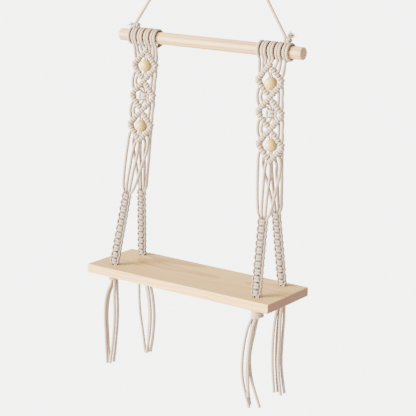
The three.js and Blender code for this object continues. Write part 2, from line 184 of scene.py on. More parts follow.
# How far each strand swings across between its last hitch and its leg, in mm, at five parts of the way
SPLIT_PARTS = np.array([0.12, 0.3, 0.5, 0.75, 0.93])
SPLIT_BOW = np.array([
    (-5.0, -5.8, -5.5, -4.2, -2.0),
    (-5.5, -7.7, -4.5, -1.5, 0.0),
    (-4.5, -6.0, -5.0, -4.0, -2.0),
    (1.0, 2.0, 0.5, 0.0, 0.0),
    (0.0, 0.0, 0.0, 0.0, 0.0),
    (3.5, 1.5, 2.5, 2.0, 1.0),
    (7.0, 10.0, 8.5, 6.5, 3.5),
    (0.8, 1.8, 2.5, 3.0, 3.0)])

# The knots below the board: three are alike, and the right front one is larger
STOPPER = {"radius": 8.4, "down": 7.0, "turns": (-0.6, 0.6), "x": 0}
LARGE_STOPPERS = {"right_front": {"radius": 9.4, "down": 13.0, "turns": (-1.1, 0.0, 1.1), "x": 3.5}}

# The woods: a year's growth and how far the rings wander, both in metres, the late wood's colour, the
# roughness, the axis of the grain, and the red, green and blue of a sawn end beside the long grain's, which
# holds the end grain's own darker tone and painted shade on top of it
WOODS = {
    "bead": {"ring": 0.0028, "wander": 0.002, "late": "#7c5826", "rough": 0.42, "axis": 2,
             "end": (1.0, 1.0, 1.0)},
    "dowel": {"ring": 0.0045, "wander": 0.004, "late": "#6b4a22", "rough": 0.55, "axis": 0,
              "end": (0.62, 0.5, 0.4)},
    "board": {"ring": 0.0052, "wander": 0.03, "late": "#7a5528", "rough": 0.6, "axis": 0,
              "end": (0.31, 0.19, 0.09)},
}
# The middle of each log: from the dowel's axis and in the shelf's frame in metres, from a bead in mm
PITH = {"dowel": (0.0, 0.004, -0.009), "board": (0.0, -0.02, -0.76),
        "bead": (9, 9, 0), "bead_spread": (6, 6, 0)}
PLAIT = {"around": 8, "along": 6.0}  # stitches in a free strand's girth, round it and along it
TONES = 0.12  # how far the strands differ in tone

# Light from the left of the camera: strength, width in degrees, colour and the way it travels
SUN = {"strength": 62.0, "width": 38, "colour": (1.0, 0.985, 0.96), "travel": (0.65, 0.73, -0.17)}
ROOM = {"strength": 2.7, "colour": (1.0, 0.99, 0.985, 1.0)}
FLOOR_REACH = 120.0  # in metres

# The camera: where it stands, how it turns, what it takes in of a square frame, and how far it sees
CAMERA = {"place": (1.43671, -2.01377, 0.07089), "yaw": 35.62, "pitch": 14.26, "roll": 0.76,
          "focal_px": 1406.69, "far": 200}
FRAME_PX = 416
SENSOR_MM = 36.0


def linear(code):
    """An sRGB hex colour as linear red, green and blue: ((c + 0.055) / 1.055) to the power 2.4, or c / 12.92
    in the darks."""
    parts = np.array([int(code[i:i + 2], 16) for i in (1, 3, 5)]) / 255
    return tuple(np.where(parts > 0.04045, ((parts + 0.055) / 1.055) ** 2.4, parts / 12.92).tolist())


class ShelfSizes(bpy.types.PropertyGroup):
    """Sizes that change the finish of the shelf without moving its pieces."""
    cord_width: bpy.props.FloatProperty(
        name="Cord width", description="Diameter of a free strand", default=0.0055, min=0.003, max=0.007,
        precision=4, unit="LENGTH", subtype="DISTANCE")
    edge_rounding: bpy.props.FloatProperty(
        name="Board edge", description="Radius of the board's sanded edges", default=0.0012, min=0.0003,
        max=0.004, precision=4, unit="LENGTH", subtype="DISTANCE")
    leg_width: bpy.props.FloatProperty(
        name="Leg spread", description="How far the outer loops of a leg reach from its middle",
        default=0.0092, min=0.006, max=0.011, precision=4, unit="LENGTH", subtype="DISTANCE")
    floor_drop: bpy.props.FloatProperty(
        name="Floor", description="Depth of the floor below the hanging point", default=2.4, min=0.9, max=4.0,
        unit="LENGTH", subtype="DISTANCE")


class ShelfColours(bpy.types.PropertyGroup):
    """Colours of the finishes."""
    cotton: bpy.props.FloatVectorProperty(
        name="Cotton", description="Unbleached cotton cord", subtype="COLOR", size=3, min=0, max=1,
        default=linear("#7b6a57"))
    pine: bpy.props.FloatVectorProperty(
        name="Pine", description="Early wood of the board", subtype="COLOR", size=3, min=0, max=1,
        default=linear("#907441"))
    dowel: bpy.props.FloatVectorProperty(
        name="Dowel", description="Early wood of the dowel", subtype="COLOR", size=3, min=0, max=1,
        default=linear("#8a6e43"))
    bead: bpy.props.FloatVectorProperty(
        name="Beads", description="Wood of the beads", subtype="COLOR", size=3, min=0, max=1,
        default=linear("#8e7642"))
    floor: bpy.props.FloatVectorProperty(
        name="Floor", description="Plain pale floor", subtype="COLOR", size=3, min=0, max=1,
        default=linear("#fcfbfa"))


# Lines and surfaces

def rows_of(place, facing, radii, inward_shade=0.0, all_round_shade=0.0):
    """Control rows of a cord, one per place: the place, which way its section faces, its radius that way and
    its radius across, and its painted shade where other cords cover it: how much darkens its inward side
    and how much darkens all of it, where 0 is none and 1 full."""
    place = np.atleast_2d(np.asarray(place, float))
    count = len(place)
    hidden = np.column_stack([np.broadcast_to(inward_shade, count), np.broadcast_to(all_round_shade, count)])
    return np.hstack([place, np.broadcast_to(facing, (count, 3)), np.broadcast_to(radii, (count, 2)), hidden])


def smooth(rows, step):
    """A line through control rows: cubic Hermite pieces, where the slope at each row is the mean of the
    slopes of the two chords that meet there. Each piece is cut in equal parts no longer than step. Where the
    facing of two rows is opposed, the later one is turned about, which leaves the section as it was."""
    rows = np.array(rows, dtype=float)
    turned = np.sum(rows[1:, 3:6] * rows[:-1, 3:6], axis=1) < 0
    sign = np.cumprod(np.concatenate([[1.0], np.where(turned, -1.0, 1.0)]))
    rows[:, 3:6] *= sign[:, None]
    rows[:, 8] *= sign
    chord = np.maximum(np.linalg.norm(np.diff(rows[:, :3], axis=0), axis=1), 1e-3)
    climb = np.diff(rows, axis=0) / chord[:, None]
    slope = np.vstack([climb[:1], (climb[:-1] + climb[1:]) / 2, climb[-1:]])
    parts = np.maximum(1, np.ceil(chord / step)).astype(int)
    piece = np.repeat(np.arange(len(chord)), parts)
    part = np.arange(parts.sum()) - np.repeat(np.cumsum(parts) - parts, parts)
    t = (part / parts[piece])[:, None]
    span = chord[piece][:, None]
    line = ((2 * t**3 - 3 * t**2 + 1) * rows[piece] + (t**3 - 2 * t**2 + t) * span * slope[piece]
            + (3 * t**2 - 2 * t**3) * rows[piece + 1] + (t**3 - t**2) * span * slope[piece + 1])
    return np.vstack([line, rows[-1]])


def unit(vectors):
    """Each vector divided by its length."""
    return vectors / np.maximum(np.linalg.norm(vectors, axis=-1, keepdims=True), 1e-9)


def tube(line, sides):
    """Rings along a line of rows: each point is the row's place plus first radius * cos(a) * facing plus
    second radius * sin(a) * (direction x facing), with a going round. Each end gets a smaller ring and a
    point, so that the cut is a soft flat. The painted shade comes with each point and is the row's shade all
    round plus (|side shade| - side shade * cos a) / 2, where side shade is the row's shade of its inward
    side."""
    ahead = unit(np.gradient(line[:, :3], axis=0))
    facing = unit(line[:, 3:6] - np.sum(line[:, 3:6] * ahead, axis=1, keepdims=True) * ahead)
    cap = line[[0, -1], 6:8].mean(axis=1, keepdims=True) * np.array([[-1.0], [1.0]]) * ahead[[0, -1]]
    place = np.vstack([line[0, :3] + cap[0] * CUT["ring"], line[:, :3], line[-1, :3] + cap[1] * CUT["ring"]])
    poles = line[[0, -1], :3] + cap * CUT["point"]
    radii = np.vstack([line[0, 6:8] * CUT["narrow"], line[:, 6:8], line[-1, 6:8] * CUT["narrow"]])
    keep = np.concatenate([[0], np.arange(len(line)), [len(line) - 1]])
    facing, beside, inward_shade = facing[keep], np.cross(ahead, facing)[keep], line[keep, 8:9]
    angle = np.arange(sides) * 2 * np.pi / sides
    rings = (place[:, None] + radii[:, :1, None] * np.cos(angle)[None, :, None] * facing[:, None]
             + radii[:, 1:, None] * np.sin(angle)[None, :, None] * beside[:, None])
    painted_shade = line[keep, 9:] + (np.abs(inward_shade) - inward_shade * np.cos(angle)) / 2
    return rings, poles, painted_shade


def skin(rings, poles, around, painted_shade=None):
    """Vertices, faces, (around, along) coordinates and painted shade values of a grid of rings. Rows of quads
    join each ring to the next; with poles each end is closed by a fan, without them the last ring joins the
    first. "around" is the length of one unit of both coordinates."""
    count, sides = rings.shape[:2]
    vertices = rings.reshape(-1, 3)
    painted_shade = np.zeros(count * sides) if painted_shade is None else painted_shade.ravel()
    gaps = np.linalg.norm(np.diff(rings.mean(axis=1), axis=0), axis=1)
    along = np.concatenate([[0.0], np.cumsum(gaps)]) / around
    rows = count - 1 if poles is not None else count
    i, j = np.meshgrid(np.arange(rows), np.arange(sides), indexing="ij")
    i, j = i.ravel(), j.ravel()
    after, beside = (i + 1) % count, (j + 1) % sides
    quads = np.stack([i * sides + j, i * sides + beside, after * sides + beside, after * sides + j], axis=1)
    u0, u1 = j / sides, (j + 1) / sides
    v0, v1 = along[i], along[after]
    quad_uv = np.stack([u0, v0, u1, v0, u1, v1, u0, v1], axis=1).reshape(-1, 4, 2)
    if poles is None:
        return vertices, quads, np.zeros((0, 3), int), quad_uv, np.zeros((0, 3, 2)), painted_shade
    side = np.arange(sides)
    beside = (side + 1) % sides
    last = (count - 1) * sides
    first_fan = np.stack([np.full(sides, len(vertices)), beside, side], axis=1)
    last_fan = np.stack([np.full(sides, len(vertices) + 1), last + side, last + beside], axis=1)
    middle, this, after = (side + 0.5) / sides, side / sides, (side + 1) / sides
    start, end = np.full(sides, along[0]), np.full(sides, along[-1])
    fan_uv = np.vstack([np.stack([middle, start, after, start, this, start], axis=1),
                        np.stack([middle, end, this, end, after, end], axis=1)]).reshape(-1, 3, 2)
    return (np.vstack([vertices, poles]), quads, np.vstack([first_fan, last_fan]), quad_uv, fan_uv,
            np.concatenate([painted_shade, [0, 0]]))


def cord_skin(rows, step, sides):
    """The skin of a cord from its control rows, with coordinates in units of a free strand's girth."""
    rings, poles, painted_shade = tube(smooth(rows, step), sides)
    return skin(rings, poles, GIRTH, painted_shade)


def lathe(profile, sides, place, axis):
    """Rings of a profile of (radius, height) turned about an axis through place."""
    angle = np.arange(sides) * 2 * np.pi / sides
    profile = np.asarray(profile, float)
    first, second = np.roll(np.arange(3), -axis)[1:]
    rings = np.zeros((len(profile), sides, 3))
    rings[:, :, axis] = profile[:, 1:2]
    rings[:, :, first] = profile[:, :1] * np.cos(angle)
    rings[:, :, second] = profile[:, :1] * np.sin(angle)
    return rings + np.asarray(place, float)


def make_piece(name, skins, material, tones=None):
    """One mesh object in metres from several skins, smooth shaded, with its strand coordinates in the UV map
    "strand", one tone per skin in the attribute "tone" and its painted shade values in an attribute of their
    own."""
    start = np.cumsum([0] + [len(part[0]) for part in skins])
    quads = np.vstack([part[1] + first for part, first in zip(skins, start)])
    fans = np.vstack([part[2] + first for part, first in zip(skins, start)])
    places = np.vstack([part[0] for part in skins]) * MM
    mesh = bpy.data.meshes.new(name)
    mesh.from_pydata(places.tolist(), [], quads.tolist() + fans.tolist())
    uv = np.concatenate([part[3].ravel() for part in skins] + [part[4].ravel() for part in skins])
    mesh.uv_layers.new(name="strand").data.foreach_set("uv", uv)
    tones = np.zeros(len(skins)) if tones is None else tones
    tone = np.repeat(tones, np.diff(start))
    painted_shade = np.concatenate([part[5] for part in skins])
    for attribute, values in (("tone", tone), ("painted_shade", painted_shade)):
        mesh.attributes.new(attribute, "FLOAT", "POINT").data.foreach_set("value", values)
    mesh.polygons.foreach_set("use_smooth", np.ones(len(mesh.polygons), dtype=bool))
    mesh.materials.append(material)
    mesh.update()
    piece = bpy.data.objects.new(name, mesh)
    bpy.context.scene.collection.objects.link(piece)
    return piece


def settle(piece, slot, *nodes):
    """The piece rides on the shelf's one body and stands for its solids. slot is not used."""
    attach(piece, "root")
    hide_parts(*nodes)


# Knots

def move(rows, axes, origin):
    """Rows from a knot's own axes (across, down, out) to the shelf's: place * axes + origin, facing * axes,
    with the facing made one long."""
    rows = rows.copy()
    rows[:, :3] = rows[:, :3] @ axes + origin
    rows[:, 3:6] = unit(rows[:, 3:6] @ axes)
    return rows


def panel_axes(side):
    """Across, down and out of a side's panel as rows, and the point on it level with the dowel's axis."""
    sign = side["sign"]
    axes = np.array([(1, 0, 0), (sign * PANEL["splay"], -PANEL["lean"], -1), (0, -1, PANEL["lean"])], float)
    return axes, np.array([sign * PANEL["top_x"], DOWEL["y"] - PANEL["forward"], DOWEL["z"]])


def run(points, radius):
    """Rows of a free stretch in a knot's own axes."""
    return rows_of(points, INWARD, (radius, radius))


def plain(points, radius):
    """Rows of a free stretch in the shelf's axes."""
    return rows_of(points, (0.0, 1.0, 0.0), (radius, radius))


def hitch(centre, along):
    """A clove hitch round a bar: with a from 180 to 900 degrees the strand's place is the centre plus
    radius * (cos a out, sin a up), and it slides along the bar by
    -(front - back / 2) * sin((a - 180) / 2) + back * (a - 540) / 360, so that it passes the front twice.
    The radius grows where it passes behind, one lay over the other."""
    turn = np.radians(np.arange(180.0, 900.1, KNOT_ROWS))
    along = np.asarray(along, float)
    up = np.array([along[1] * np.sign(along[0]), -abs(along[0])])
    behind = (1 - np.cos(turn)) / 2
    radius = HITCH["radius"] + behind * HITCH["lay"] * (turn - np.pi) / (4 * np.pi)
    swing = HITCH["front"] - HITCH["back"] / 2
    slide = -swing * np.sin((turn - np.pi) / 2) + HITCH["back"] * (turn - 3 * np.pi) / (2 * np.pi)
    flat = np.asarray(centre, float) + slide[:, None] * along + (radius * np.sin(turn))[:, None] * up
    facing = np.column_stack([np.sin(turn)[:, None] * up, np.cos(turn)])
    place = np.column_stack([flat, radius * np.cos(turn)])
    rows = rows_of(place, facing, (HITCH["flat"], HITCH["broad"]), 1.0)
    rows[[0, -1], 6:9] = HITCH["end"]
    return rows


def square_knots(table, count, wide, pitch):
    """Rows of one knotting cord of a square-knot braid: its table once for each knot, with
    across = column 0 * wide and down = (knot + column 1) * pitch."""
    down = ((np.arange(count)[:, None] + table[:, 1]) * pitch).ravel()
    table = np.tile(table, (count, 1))
    facing = np.column_stack([table[:, 3], np.zeros(len(table)), table[:, 4]])
    place = np.column_stack([table[:, 0] * wide, down, table[:, 2]])
    return rows_of(place, facing, table[:, 5:7], 1.0, table[:, 7])


def crossing(diamond):
    """How far down the panel the bars above a diamond cross."""
    return DIAMOND["first"] + DIAMOND["pitch"] * diamond


HALF_PITCH = DIAMOND["pitch"] / 2
BAR_LENGTH = math.hypot(DIAMOND["half_width"], HALF_PITCH)
SLOPE = np.array([DIAMOND["half_width"], HALF_PITCH]) / BAR_LENGTH  # across and down along a bar


def working_strand(index, radius):
    """Rows down the panel of a strand that is hitched on every bar of its hand. The one next to the middle
    passes through the crossings."""
    hand = -1 if index < 4 else 1
    order = 2 - index if index < 4 else index - 5  # 0 next to the middle, 2 at the corner
    place = HITCH_PLACES[order]
    passing = STRANDS[index] + hand * PASSING["swing"] * order if order else DIAMOND["bead"][0]
    rows = []
    for diamond in range(DIAMOND["count"]):
        top, bottom = crossing(diamond), crossing(diamond + 1)
        middle = top + HALF_PITCH
        upper, lower = SLOPE * (hand, 1), SLOPE * (-hand, 1)
        if diamond:
            rows.append(run([(passing, top, PASSING["out"])], radius))
        rows.append(hitch((0, top) + place * upper, upper))
        beaded = diamond in BEADED
        if order == 2:
            behind = (hand * CORNER_STRAND["across"], middle, CORNER_STRAND["out"])
            rows.append(run([behind], radius * CORNER_STRAND["slim"]))
        elif order == 1 and beaded:
            rows.append(run([(hand * SIDE_STRAND["across"], middle, SIDE_STRAND["out"])], radius))
        elif order == 1:
            table = OVER_CORD if hand < 0 else np.vstack([UNDER_CORD[14:] - ONE_KNOT_UP, UNDER_CORD[:11]])
            knot = square_knots(table, 1, MIDDLE_KNOT["wide"], MIDDLE_KNOT["height"])
            knot[:, :3] += (MIDDLE_KNOT["across"], middle - MIDDLE_KNOT["height"] / 2, MIDDLE_KNOT["out"])
            knot[:, 8:] *= MIDDLE_KNOT["shade"]
            rows.append(knot)
        elif beaded:
            shift, out = DIAMOND["bead"]
            (wide, far), (narrow, near) = THREAD["ends"], THREAD["hole"]
            points = [(hand * wide, middle - far, 0), (hand * narrow + shift, middle - near, out),
                      (hand * narrow + shift, middle + near, out), (hand * wide, middle + far, 0)]
            rows.append(run(points, THREAD["radius"]))
        else:
            x, out = hand * MIDDLE_CORE["across"] + MIDDLE_KNOT["across"], MIDDLE_KNOT["out"]
            places = [(x, middle + down, out) for down in MIDDLE_CORE["down"]]
            rows.append(rows_of(places, INWARD, (MIDDLE_CORE["radius"],) * 2, MIDDLE_CORE["inward_shade"]))
        rows.append(hitch((0, bottom) - place * lower, lower))
    return np.vstack(rows)


def leading_strand(index):
    """Rows down the panel of one of the two middle strands, which lie inside the bars and cross between the
    diamonds. The one that comes from the right runs straight on, the other is hitched round it."""
    hand = -1 if index == MIDDLE_STRANDS[0] else 1  # the side that it comes from
    steps = np.array(LEADER["places"])[:, None]
    rows = []
    for diamond in range(DIAMOND["count"] + 1):
        top = crossing(diamond)
        if hand > 0:
            rows.append(run([(0, top, 0)], LEADER["radius"]))
        else:
            rows.append(hitch((0, top), SLOPE * (-1, 1)))
        hand = -hand
        if diamond == DIAMOND["count"]:
            break
        down = (0, top) + steps * SLOPE * (hand, 1)
        back = (0, crossing(diamond + 1)) + steps[::-1] * SLOPE * (hand, -1)
        corner = CORNER_BEND * (hand, 1) + (hand * DIAMOND["half_width"], top + HALF_PITCH)
        flat = np.vstack([down, corner, back])
        rows.append(run(np.hstack([flat, np.zeros((len(flat), 1))]), LEADER["radius"]))
    return np.vstack(rows)


def by_dowel(x, up=0.0):
    """A point at x, the given way above the dowel's axis."""
    return np.array([x, DOWEL["y"], DOWEL["z"] + up])


def outward(angle):
    """The ways out from the dowel's axis at angles from the room side over the top: (-cos a to the wall,
    sin a up)."""
    return np.column_stack([0 * angle, -np.cos(angle), np.sin(angle)])


def turn_on_dowel(x, middle_x):
    """Rows of one turn round the dowel, from the bight behind it that joins the pair, up the back, over the
    top and down the front: place = axis + radius * outward(a)."""
    turned = np.arange(180.0, TURN["last"], -KNOT_ROWS)
    angle = np.radians(np.concatenate([BIGHT["angles"], turned, [TURN["leave"]]]))
    rise = np.radians(BIGHT["angles"][0]) - angle
    lift = BIGHT["lift"] * np.clip(1 - rise / np.radians(BIGHT["lift_over"]), 0, 1) ** 1.5
    radius = TURN["radius"] + lift
    blend = np.clip(rise / np.radians(BIGHT["join_over"]), 0, 1)
    place = by_dowel(0) + radius[:, None] * outward(angle)
    place[:, 0] = middle_x + (x - middle_x) * blend
    return rows_of(place, outward(angle), (TURN["flat"], TURN["broad"]), TURN["inward_shade"])


def turn_places(side):
    """Where each strand's turn lies on the dowel, two close together about each pair's middle."""
    both = [middle + hand * TURN["half_pair"] for middle in side["pairs_x"] for hand in (-1, 1)]
    return both[side["first"]:side["first"] + len(STRANDS)]


def hole_middle(side, leg):
    """The middle of a leg's hole at the top of the board."""
    return np.array([side["sign"] * HOLE["x"], HOLE[leg + "_y"], BOARD["top"]])


def leg_frame(side, leg):
    """A leg's across, down and out as rows, its top and its length."""
    order = LEGS.index(leg)
    top = np.array([side["leg_x"][order], LEG["top_y"][order], BOARD["top"] + side["leg_top"][order]])
    foot = hole_middle(side, leg)
    down = unit(foot - top)
    across = unit(np.array([1.0, 0, 0]) - down[0] * down)
    axes = np.array([across, down, np.cross(down, across)])
    return axes, top - LEG["set_back"] * axes[2], np.linalg.norm(foot - top)


def leg_rows(side, leg, role, wide):
    """Rows of one strand down its leg, then through the board's hole."""
    axes, top, length = leg_frame(side, leg)
    pitch = length / LEG["knots"]
    if role.startswith("core"):
        x, out = (-1 if role == "core_left" else 1) * LEG["core"][0], LEG["core"][1]
        after, before = LEG["core_ends"]
        places = [(x, down, out) for down in (after, length / 2, length - before)]
        local = rows_of(places, INWARD, LEG["core_radii"], 1.0)
    else:
        table = OVER_CORD if role == "over" else UNDER_CORD
        wide *= LEG["slim"][LEGS.index(leg)]
        local = square_knots(table, LEG["knots"], wide, pitch)
        if role == "under":
            local = np.vstack([square_knots(table[12:] - ONE_KNOT_UP, 1, wide, pitch), local])
        local = local[local[:, 1] < length + LEG["past_foot"]]
        local[:, 9] += LEG["shade"]
        over = LEG["narrow_over"]
        local[:, 0] *= 1 - LEG["narrow"] * np.clip((local[:, 1] - length + over) / over, 0, 1)
        local[:2, 9] = 0
        if role == "over" and leg == "front":
            local[0, :2] += LEG["first_bend"]
    x, y = (hand * BUNDLE["reach"] for hand in ((-1, -1), (-1, 1), (1, -1), (1, 1))[ROLES.index(role)])
    through = plain(hole_middle(side, leg) + [(x, y, down) for down in BUNDLE["down"]], BUNDLE["radius"])
    return np.vstack([move(local, axes, top), through])


def fringe_rows(side, leg, role, radius):
    """Rows of a loose end below the board."""
    ends = FRINGE[side["name"] + "_" + leg]
    return plain(np.array(ends[ROLES.index(role)]) + hole_middle(side, leg), radius)


def strand_rows(side, index, radius, wide):
    """All the rows of one strand, from behind the dowel to its loose end."""
    places = turn_places(side)
    partner = index + 1 if index % 2 == 0 else index - 1
    wrap = turn_on_dowel(places[index], (places[index] + places[partner]) / 2)
    leading = index in MIDDLE_STRANDS
    panel = leading_strand(index) if leading else working_strand(index, radius)
    axes, origin = panel_axes(side)
    down = np.array(NECK["down"][:1] if leading else NECK["down"])
    first_hitch = NECK["first_hitch"] + NECK["later"] * abs(index - 3.5)
    part = np.clip((down - NECK["from"]) / (first_hitch - NECK["from"]), 0, 1)
    start = places[index] - origin[0]
    across = start + (STRANDS[index] - start) * part
    neck = run(np.column_stack([across, down, NECK["out"] - NECK["lean"] * (down - NECK["from"])]), radius)
    panel = move(np.vstack([neck, panel]), axes, origin)
    leg, role = ROUTES[index]
    braid = leg_rows(side, leg, role, wide)
    start, end = panel[-1, :3], braid[0, :3]
    points = start + (end - start) * SPLIT_PARTS[:, None]
    points[:, 0] += SPLIT_BOW[index]
    return np.vstack([wrap, panel, plain(points, radius), braid, fringe_rows(side, leg, role, radius)])


def stopper_rows(side, leg):
    """Rows of the tilted turns that show on a knot of four strands below the board: place = middle + radius *
    (cos a, sin a) with the height rising by a tilt * cos a, and both ends dipping into the bundle."""
    knot, turned = LARGE_STOPPERS.get(side["name"] + "_" + leg, STOPPER), STOPPER_TURN
    angle = np.radians(np.arange(*turned["angles"], KNOT_ROWS))
    past = np.abs(angle - np.pi) - np.radians(turned["dip_from"])
    radius = knot["radius"] - turned["dip"] * np.clip(past / np.radians(turned["dip_over"]), 0, 1)
    middle = hole_middle(side, leg) + (knot["x"], 0, -BOARD["thickness"] - knot["down"])
    turns = []
    for order in knot["turns"]:
        around = angle + order
        place = middle + np.column_stack([radius * np.cos(around), radius * np.sin(around),
                                          order * turned["pitch"] + turned["tilt"] * np.cos(around)])
        facing = np.column_stack([np.cos(around), np.sin(around), np.zeros(len(angle))])
        turns.append(rows_of(place, facing, turned["radii"], 1.0))
    return turns


def hanging_end(side, radius):
    """Rows of one end of the hanging cord: its tail, a coil of turns round its own standing part above the
    dowel, the loop round the dowel, and back through the coil to the arm's foot."""
    knot = by_dowel(*side["knot"])
    tail = plain(knot + TAIL[side["name"]], ARM["tail_radius"])
    t = np.linspace(0, 1, COIL["rows"])
    angle = np.radians(COIL["first"] + COIL["turned"] * t)
    rate, least = COIL["ends"]
    girth = np.clip(rate * np.minimum(t, 1 - t) + least, 0, 1)
    place = knot + np.column_stack([side["sign"] * (COIL["start"] - COIL["length"] * t),
                                    -COIL["front"] * girth * np.cos(angle),
                                    COIL["up"] * girth * np.sin(angle) - COIL["sag"] + t])
    inward_shade = COIL["inward_shade"] * np.clip((1 - t) * COIL["bare_end"], 0, 1)
    coil = rows_of(place, outward(angle), COIL["radii"], inward_shade)
    way = outward(np.radians(np.arange(*LOOP, KNOT_ROWS)))
    place = by_dowel(side["loop_x"]) + TURN["radius"] * way
    loop = rows_of(place, way, (TURN["flat"], TURN["broad"]), TURN["inward_shade"])
    loop[[0, -1], 8] = 0
    foot = by_dowel(*side["arm"])
    way = unit(APEX - foot)
    inside = plain([foot - way * below for below in ARM["inside"]], ARM["inside_radius"])
    arm = plain(foot + way * np.array(ARM["places"])[:, None], radius)
    return np.vstack([tail, coil, loop, inside, arm])


def hanging_rows(radius):
    """Rows of the whole hanging cord from tail to tail, with an arc over the nail between the two arms."""
    ends = [hanging_end(side, radius) for side in SIDES]
    bend = np.radians(np.linspace(-NAIL["bend"], NAIL["bend"], NAIL["rows"]))
    reach = NAIL["reach"]
    arc = np.column_stack([reach * np.sin(bend), 0 * bend, NAIL["z"] + reach * np.cos(bend)])
    return np.vstack([ends[0], plain(arc, radius), ends[1][::-1]])


def tuft_rows(rng, side, count):
    """Rows of the loosened fibres at a tail's end: each starts in the cut end and leans out its own way."""
    tail = np.array(TAIL[side["name"]])
    ahead = unit(tail[0] - tail[1])
    root = by_dowel(*side["knot"]) + tail[0] - ahead
    lines = []
    for spread, reach in zip(rng.normal(0, 1, (count, 3)), rng.uniform(*TUFT["reach"], count)):
        way = unit(ahead + spread * TUFT["spread"])
        droop = np.array(TUFT["droop"]) * reach
        start = root + spread * TUFT["root"]
        rows = plain(start + way * np.array([[0], [0.5], [1.0]]) * reach + droop, TUFT["radius"])
        rows[2, 6:8] = TUFT["tip"]
        lines.append(rows)
    return lines


# Finishes

def add(tree, kind, inputs=(), **settings):
    """Adds a node with its own settings. inputs pairs a socket with a value, with another node's output, or
    with a node, which stands for the first output that it has in use."""
    made = tree.nodes.new("ShaderNode" + kind)
    for name, value in settings.items():
        setattr(made, name, value)
    for socket, value in dict(inputs).items():
        if isinstance(value, bpy.types.Node):
            value = next(output for output in value.outputs if output.enabled)
        if isinstance(value, bpy.types.NodeSocket):
            tree.links.new(value, made.inputs[socket])
        else:
            made.inputs[socket].default_value = value
    return made


def new_material(name):
    """An empty node material and its tree."""
    material = bpy.data.materials.new(name)
    material.use_nodes = True
    material.node_tree.nodes.clear()
    return material, material.node_tree


def shade(colour, factor):
    """A colour made lighter or darker, with its alpha."""
    return tuple(min(1.0, c * factor) for c in colour[:3]) + (1.0,)


def cotton_material(colour):
    """Soft unbleached cotton cord, knitted over a loose core: matt, faintly furry, with a plait of fine
    stitches that run round the cord both ways. The stitches are 2.2 mm wide, wider than the real 1 mm, so
    that they show at all. Lint is 1.1 mm and clouds of tone are 22 mm across. The colour carries painted
    shade: a little in the plait's troughs, and much on the inward side of a cord in a knot and on the parts
    that other cords cover."""
    material, tree = new_material("unbleached_cotton_cord")
    strand = add(tree, "UVMap", uv_map="strand")
    around, along, _ = add(tree, "SeparateXYZ", {0: strand}).outputs
    waves = []
    for hand in (-1, 1):
        lean = add(tree, "Math", {0: along, 1: hand * PLAIT["along"] * math.tau}, operation="MULTIPLY")
        phase = add(tree, "Math", {0: around, 1: PLAIT["around"] * math.tau, 2: lean},
                    operation="MULTIPLY_ADD")
        waves.append(add(tree, "Math", {0: phase}, operation="SINE"))
    plait = add(tree, "Math", dict(enumerate(waves)), operation="MAXIMUM")
    place = add(tree, "TexCoord").outputs["Object"]
    lint = add(tree, "TexNoise", {"Vector": place, "Scale": 900.0, "Detail": 3.0})
    cloud = add(tree, "TexNoise", {"Vector": place, "Scale": 45.0, "Detail": 2.0})
    height = add(tree, "Math", {0: lint, 1: 0.9, 2: plait}, operation="MULTIPLY_ADD")
    bump = add(tree, "Bump", {"Height": height, "Strength": 0.35, "Distance": 0.00022})
    tone = add(tree, "Attribute", attribute_name="tone").outputs["Fac"]
    mix = add(tree, "Math", {0: cloud, 1: tone}, operation="ADD")
    body = add(tree, "Mix", {0: mix, 6: shade(colour, 0.92), 7: shade(colour, 1.06)}, data_type="RGBA")
    # Painted shade: the plait's troughs are a little darker in colour
    plait_shade = add(tree, "MapRange", {0: plait, 1: -0.6, 2: 0.6, 3: 0.93, 4: 1.0})
    # Painted shade: the inward sides of cords in knots and the parts that other cords cover are darkened in
    # colour
    painted_shade = add(tree, "Attribute", attribute_name="painted_shade").outputs["Fac"]
    hidden = add(tree, "MapRange", {0: painted_shade, 1: 0.15, 2: 0.62, 3: 1.0, 4: 0.28})
    both = add(tree, "Math", {0: plait_shade, 1: hidden}, operation="MULTIPLY")
    base = add(tree, "VectorMath", {0: body, "Scale": both}, operation="SCALE")
    surface = add(tree, "BsdfPrincipled", {
        "Base Color": base, "Roughness": 0.92, "IOR": 1.46, "Sheen Weight": 0.08, "Sheen Roughness": 0.45,
        "Specular IOR Level": 0.25, "Normal": bump})
    add(tree, "OutputMaterial", {"Surface": surface})
    return material


def mark_ends(mesh):
    """Marks the faces across the grain, those that look along X, with 1 in the attribute "end"."""
    normals = np.zeros(len(mesh.polygons) * 3, dtype=np.float32)
    mesh.polygons.foreach_get("normal", normals)
    across = np.abs(normals[::3]) > 0.9
    mesh.attributes.new("end", "FLOAT", "FACE").data.foreach_set("value", across.astype(np.float32))


